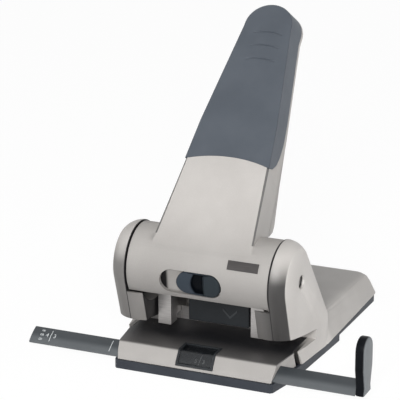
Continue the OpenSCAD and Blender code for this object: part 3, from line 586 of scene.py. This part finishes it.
def makeGrip():
    grip = gripSizes
    bm = bmesh.new()
    front = arm["face"] - grip["proud"]
    face = faceFrom(bm, [(x, front, z) for x, z in gripOutline()])
    drawOut(bm, [face], (0, grip["depth"], 0))
    for vert in bm.verts:
        if vert.co.z > arm["tip"] - 0.1:
            vert.co.z += (vert.co.y - arm["face"]) * math.tan(math.radians(arm["tipLean"]))
    # the back and the lower edge are open
    back = max(bm.faces, key=lambda f: f.calc_center_median().y)
    corner = armHalfWidth(grip["start"]) + grip["proud"] - 0.3
    bottom = [f for f in bm.faces if f is not back and abs(f.normal.y) < 0.5
              and f.calc_center_median().z < grip["start"] + 5
              and abs(f.calc_center_median().x) < corner]
    bmesh.ops.recalc_face_normals(bm, faces=bm.faces)
    bmesh.ops.delete(bm, geom=[back] + bottom, context="FACES")
    for (y0, z0), (y1, z1) in zip(grip["sweep"], grip["sweep"][1:]):
        cutThrough(bm, everyPart(bm), (0, y0, z0), (0, z1 - z0, y0 - y1), clear=True)
    rim = [edge for edge in bm.edges if len(edge.link_faces) == 2
           and all(abs(vert.co.y - front) < 0.01 for vert in edge.verts)]
    out, up = grip["edgeShadeFrom"]
    # rounded edges further out and up take the darker copy: painted shade
    for face in roundEdges(bm, rim, grip["edgeRound"], 4):
        if abs(face.calc_center_median().x) > out and face.calc_center_median().z > up:
            face.material_index = 1
    pressGrooves(bm, front)
    bmesh.ops.solidify(bm, geom=bm.faces[:], thickness=grip["wall"])
    piece = putPiece("leverGrip", bm, "lever", gripSoft, leverPlace,
                     replaced=("lever_grip",), angle=28)
    piece.data.materials.append(gripEdgeShade)


makeGrip()
print("grip made")

# The slider is drawn flat, as its window is seen, and then laid on the barrel
sliderSizes = {
    "left": -13.8,
    "right": 16.2,
    "half": 7.6,         # of its height
    "floor": 21.1,       # radii about the pivot
    "leftRadius": 24.2,
    "rightRadius": 25.1,
    "thick": 2.6,
    "edgeRound": 0.7,
    "scoop": (-4.4, 5.2),   # from and to, along the slider
    "scoopDepth": 2.4,
    "scoopBow": 3.0,     # how far its left edge bends
    "fade": 0.8,         # width over which the scoop falls
    "cuts": (-11.8, -8.8, -5.8, 5.8, 7.2, 9.2, 12.2),   # beside the scoop
    "scoopStep": 0.4,
    "rowStep": 1.05,
}


def makeSlider():
    slider = sliderSizes
    bm = bmesh.new()
    half, floorRadius = slider["half"], slider["floor"]
    points = arcPoints((slider["right"] - half, 0), half, -90, 90, 14)
    points += arcPoints((slider["left"] + half, 0), half, 90, 270, 14)
    face = faceFrom(bm, [(x, y, floorRadius) for x, y in points])
    drawOut(bm, [face], (0, 0, slider["thick"]))
    top = max(bm.faces, key=lambda f: f.calc_center_median().z)
    roundEdges(bm, top.edges[:], slider["edgeRound"])

    def topParts():
        return partsOf([f for f in bm.faces if abs(f.normal.z) > 0.99
                        and f.calc_center_median().z > floorRadius + 1])
    start, end = slider["scoop"]
    lines = [start - 1.4 + slider["scoopStep"] * i for i in range(22)]
    for x in sorted([*slider["cuts"], *lines]):
        cutThrough(bm, topParts(), (x, 0, 0), (1, 0, 0))
    for row in range(-6, 7):
        cutThrough(bm, topParts(), (0, row * slider["rowStep"], 0), (0, 1, 0))
    for vert in bm.verts:
        x, y, z = vert.co
        if z < floorRadius + 0.5:
            continue
        bowed = start + slider["scoopBow"] * (y / half) ** 2
        left = min(max((x - bowed) / slider["fade"], 0), 1)
        right = min(max((end - x) / slider["fade"], 0), 1)
        inside = left * right * min(1, (half - abs(y)) / slider["fade"])
        radius = slider["leftRadius"] if x < (start + end) / 2 else slider["rightRadius"]
        crown = math.sqrt(radius ** 2 - y ** 2)
        sunk = math.sqrt((slider["leftRadius"] - slider["scoopDepth"]) ** 2 - y ** 2)
        vert.co.z = crown + z - (floorRadius + slider["thick"]) + (sunk - crown) * inside
    putPiece("lockSlider", bm, "lock", sliderPlastic, windowPlace,
             replaced=("lock_slider",), angle=40)


makeSlider()
print("slider made")

badgeSizes = {
    "left": 20,
    "length": 20.5,
    "rise": 31,          # angle of its middle above the foremost line
    "height": 6,
    "proud": 0.5,
    "border": 0.45,
    "step": 0.1,
    "sunk": 0.12,        # its bare field, within the border
}


def makeBadge():
    badge = badgeSizes
    bm = bmesh.new()
    radius = place["barrelRadius"]
    spread = badge["height"] / radius
    start = math.radians(90 - badge["rise"]) + spread / 2
    corner = Vector((badge["left"], -radius * math.sin(start), radius * math.cos(start)))
    ends = [bm.verts.new(corner), bm.verts.new(corner + Vector((badge["length"], 0, 0)))]
    edge = bm.edges.new(ends)
    bmesh.ops.spin(bm, geom=[*ends, edge], cent=(0, 0, 0), axis=(1, 0, 0), steps=8,
                   angle=-spread)
    bmesh.ops.recalc_face_normals(bm, faces=bm.faces)
    if bm.faces[:][0].normal.y > 0:
        bmesh.ops.reverse_faces(bm, faces=bm.faces)
    bmesh.ops.inset_region(bm, faces=bm.faces[:], thickness=badge["border"], depth=0)
    low, high = badge["left"] + 0.4, badge["left"] + badge["length"] - 0.4
    field = [face for face in bm.faces if all(low < vert.co.x < high for vert in face.verts)]
    bmesh.ops.inset_region(bm, faces=field, thickness=badge["step"], depth=-badge["sunk"])
    bmesh.ops.solidify(bm, geom=bm.faces[:], thickness=-badge["proud"])
    putPiece("badgePlate", bm, "lever", badgeMetal, pivotPlace,
             replaced=("badge_plate",), angle=30)


makeBadge()
print("badge made")

barSizes = {"left": -116.6, "right": 106.9, "width": 12.6, "thick": 2, "sag": 0.7}
markSizes = {
    "lines": (-103, -60, 2),
    "line": (0.45, 8.5),      # along and across the bar
    # text, place along and across the bar, size, turn
    "digits": [("8", -109.5, -3.4, 3.4, -90), ("8", -109.5, 0, 3.4, -90),
               ("8", -109.5, 3.4, 3.4, -90), ("4", -105.6, 0, 4.2, 0), ("3", -100.2, 0, 4.2, 0),
               ("3", 4.6, -1, 4.2, 0), ("5", -0.6, -1, 4.2, 0)],
    "lineLift": 0.01,
    "lineThick": 0.04,
    "digitLift": 0.02,
    "digitHalf": 0.03,        # half of a digit's thickness
}


def barTop(across):  # the bar's top is crowned
    return barSizes["thick"] / 2 - barSizes["sag"] * (2 * across / barSizes["width"]) ** 2


def makeBar():
    bar = barSizes
    bm = bmesh.new()
    half = bar["width"] / 2
    crown = [half - 2 * half * i / 10 for i in range(11)]
    section = [(across, barTop(across)) for across in crown]
    section += [(-half, -bar["thick"] / 2), (half, -bar["thick"] / 2)]
    face = faceFrom(bm, [(bar["left"], across, up) for across, up in section])
    drawOut(bm, [face], (bar["right"] - bar["left"], 0, 0))
    piece = putPiece("guideBar", bm, "guide", barPlastic, barPlace,
                     replaced=("guide_bar",), angle=25)
    softenEdges(piece, 0.15, 30)


def printLine(bm, along):
    mark = markSizes
    made = bmesh.ops.create_grid(bm, x_segments=1, y_segments=8, size=0.5)["verts"]
    bmesh.ops.scale(bm, vec=(*mark["line"], 1), verts=made)
    for vert in made:
        vert.co = (vert.co.x + along, vert.co.y, barTop(vert.co.y) + mark["lineLift"])
    faces = dict.fromkeys(face for vert in made for face in vert.link_faces)
    drawOut(bm, list(faces), (0, 0, mark["lineThick"]))


def printDigit(bm, text, along, across, size, turn):
    letters = bpy.data.curves.new("digit", "FONT")
    letters.body = text
    letters.size = size
    letters.align_x = "CENTER"
    letters.align_y = "CENTER"
    letters.extrude = markSizes["digitHalf"]
    shape = bpy.data.objects.new("digit", letters)
    bpy.context.scene.collection.objects.link(shape)
    mesh = bpy.data.meshes.new_from_object(shape)
    mesh.transform(Matrix.Translation((along, across, markSizes["digitLift"]))
                   @ Matrix.Rotation(math.radians(turn), 4, "Z"))
    for vert in mesh.vertices:
        vert.co.z += barTop(vert.co.y)
    bm.from_mesh(mesh)
    bpy.data.objects.remove(shape)
    bpy.data.curves.remove(letters)
    bpy.data.meshes.remove(mesh)


def makeMarks():
    bm = bmesh.new()
    for along in markSizes["lines"]:
        printLine(bm, along)
    for digit in markSizes["digits"]:
        printDigit(bm, *digit)
    putPiece("formatMarks", bm, "guide", whiteInk, barPlace, angle=30)


makeBar()
makeMarks()

# The upright stop at the bar's right end: a foot, a neck, and a paddle with a round top
stopSizes = {
    "left": 107,
    "thick": 6.5,
    "y": -35.9,
    "foot": (6.4, 6.8),       # half width and height
    "neck": (5.4, 12),
    "shoulder": (7.85, 22.5),
    "half": 8.25,
    "wideFrom": 25,
    "top": 44,
    "round": 1.5,
}


def makeStop():
    stop = stopSizes
    bm = bmesh.new()
    left = [(-y, z) for y, z in (stop["shoulder"], stop["neck"], stop["foot"])]
    outline = [stop["foot"], stop["neck"], stop["shoulder"]]
    outline += arcPoints((0, stop["wideFrom"]), stop["half"], -8, 0, 2)
    outline += arcPoints((0, stop["top"] - stop["half"]), stop["half"], 0, 180, 28)
    outline += arcPoints((0, stop["wideFrom"]), stop["half"], 180, 188, 2) + left
    face = faceFrom(bm, [(stop["left"], stop["y"] + y, z) for y, z in outline])
    drawOut(bm, [face], (stop["thick"], 0, 0))
    bmesh.ops.recalc_face_normals(bm, faces=bm.faces)
    rims = [edge for face in bm.faces if abs(face.normal.x) > 0.9 for edge in face.edges]
    roundEdges(bm, rims, stop["round"], 4)
    putPiece("endStop", bm, "guide", stopPlastic, replaced=("end_stop",), angle=35)


makeStop()
print("guide bar made")

roundedCopy("chipTray", "chip_tray", "tray", trayPlastic, 0.5, clamp=True)
roundedCopy("basePlate", "base_plate", "base", trayPlastic, 0.4, clamp=True)
roundedCopy("punchFrameLeft", "punch_frame_left", "base", brightSteel, 0.4)
roundedCopy("punchFrameRight", "punch_frame_right", "base", brightSteel, 0.4)
roundedCopy("centreCover", "centre_cover", "base", slatePlastic, 0.5)

# A plain raised chevron on the centre cover
coverMark = {"x": 8, "y": -1.4, "z": 32, "arm": 5, "width": 1.65, "height": 0.35}


def makeCoverMark():
    mark = coverMark
    bm = bmesh.new()
    reach, width = mark["arm"], mark["width"]
    outline = [(-reach, 0), (0, -reach), (reach, 0), (reach, width), (0, width - reach),
               (-reach, width)]
    face = faceFrom(bm, [(mark["x"] + x, mark["y"], mark["z"] + z) for x, z in outline])
    drawOut(bm, [face], (0, -mark["height"], 0))
    putPiece("coverMark", bm, "base", greyRelief, angle=30)


makeCoverMark()
roundedCopy("formatFrame", "window_frame", "base", slatePlastic, 0.2)
roundedCopy("pivotScrews", "pivot_screws", "base", screwSteel, 0.2)


def makeSpring(name, node):
    piece = putPiece(name, weldedCopy(node), "base", brightSteel,
                     replaced=(node,), angle=60, weld=False)
    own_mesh(piece)


makeSpring("returnSpringLeft", "return_spring_left")
makeSpring("returnSpringRight", "return_spring_right")
print("base parts made")

# The solids that stay as they are
nodeFinishes = [
    (brightSteel, ("paper_backstop", "pivot_shaft", "pivot_sleeve", "tray_hinge_pin", "bar_clip",
                   "punch_pin_left", "punch_pin_right")),
    (duskSteel, ("chassis_plate", "cam_left", "cam_right", "lock_tongue", "frame_screws",
                 "chassis_screws", "base_screws")),
    # the die bushes are painted dark as painted shade, where they sit in shadow under the blocks
    (darkSteel, ("die_bushes",)),
    (brass, ("pivot_washers", "spring_collar_left", "spring_collar_right")),
    (smokedWindow, ("window_lens",)),
    (slatePlastic, ("lever_back_plate",)),
]
for finish, nodes in nodeFinishes:
    for node in nodes:
        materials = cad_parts[node].data.materials
        if not materials:
            materials.append(finish)
        for index in range(len(materials)):
            materials[index] = finish
print("CAD nodes dressed")

studio = {
    "dim": 0.06,         # the surroundings' light on the punch
    "white": 1.0,        # and as the camera and reflections see them
    "floorHalf": 4,      # in metres
    "floorTone": 0.85,
    "floorGlow": 1.05,
    "glowShare": 0.9,    # the rest of the floor takes the shadow
}
lamps = {
    "keyLamp": {"from": (18, 24), "away": 1.7, "size": 0.8, "power": 25},
    "leftLamp": {"from": (-65, 12), "away": 1.7, "size": 0.8, "power": 7},
    "rightLamp": {"from": (100, 8), "away": 1.7, "size": 0.8, "power": 9.5},
    "topLamp": {"from": (0, 80), "away": 1.6, "size": 1.0, "power": 0.8},
    "backLamp": {"from": (180, 30), "away": 1.8, "size": 1.2, "power": 1.5},
}
cameraSizes = {
    "lens": 198.75,
    "sensor": 36,
    "spot": (0.5026, -1.2232, 0.5550),
    "pitch": 71.25,
    "turn": 22.88,
}


def whenSeen(wire, unseen, seen):  # by the camera, or in a reflection or through a lens
    rays = wire.tree.nodes.new("ShaderNodeLightPath")
    camera, glossy, through = (Wire(wire.tree, rays.outputs[name]) for name in
                               ("Is Camera Ray", "Is Glossy Ray", "Is Transmission Ray"))
    return unseen + camera.most(glossy).most(through) * (seen - unseen)


def makeWorld():
    world = bpy.data.worlds.new("studio")
    bpy.context.scene.world = world
    world.use_nodes = True
    tree = world.node_tree
    sky = tree.nodes["Background"]
    sky.inputs["Color"].default_value = (1, 1, 1, 1)
    strength = whenSeen(Wire(tree), studio["dim"], studio["white"])
    tree.links.new(strength.socket, sky.inputs["Strength"])


def makeFloor():
    bm = bmesh.new()
    bmesh.ops.create_grid(bm, x_segments=1, y_segments=1, size=studio["floorHalf"])
    mesh = bpy.data.meshes.new("floor")
    bm.to_mesh(mesh)
    bm.free()
    floor = bpy.data.objects.new("floor", mesh)
    bpy.context.scene.collection.objects.link(floor)
    paint = bpy.data.materials.new("paleFloor")
    paint.use_nodes = True
    tree = paint.node_tree
    matt = tree.nodes["Principled BSDF"]
    matt.inputs["Base Color"].default_value = (*[studio["floorTone"]] * 3, 1)
    matt.inputs["Roughness"].default_value = 0.9
    wire = Wire(tree)
    glow = wire.node("ShaderNodeEmission", None,
                     {"Color": (1, 1, 1, 1), "Strength": studio["floorGlow"]})
    both = wire.node("ShaderNodeMixShader", None, {
        0: whenSeen(wire, 0.0, studio["glowShare"]), 1: Wire(tree, matt.outputs[0]), 2: glow})
    tree.links.new(both.socket, tree.nodes["Material Output"].inputs["Surface"])
    mesh.materials.append(paint)


def hangLamps():
    target = Vector((0, 0.03, 0.08))
    for name, lamp in lamps.items():
        turn, rise = (math.radians(angle) for angle in lamp["from"])
        towards = Vector((math.sin(turn) * math.cos(rise), -math.cos(turn) * math.cos(rise),
                          math.sin(rise)))
        data = bpy.data.lights.new(name, "AREA")
        data.shape = "DISK"
        data.size = lamp["size"]
        data.energy = lamp["power"]
        light = bpy.data.objects.new(name, data)
        light.location = target + towards * lamp["away"]
        light.rotation_euler = towards.to_track_quat("Z", "Y").to_euler()
        bpy.context.scene.collection.objects.link(light)


def setCamera():
    data = bpy.data.cameras.new("camera")
    data.lens = cameraSizes["lens"]
    data.sensor_width = cameraSizes["sensor"]
    camera = bpy.data.objects.new("camera", data)
    camera.location = cameraSizes["spot"]
    camera.rotation_euler = (math.radians(cameraSizes["pitch"]), 0,
                             math.radians(cameraSizes["turn"]))
    bpy.context.scene.collection.objects.link(camera)
    bpy.context.scene.camera = camera


makeWorld()
makeFloor()
hangLamps()
setCamera()
bpy.context.scene.view_settings.view_transform = "Standard"
print("stage set")
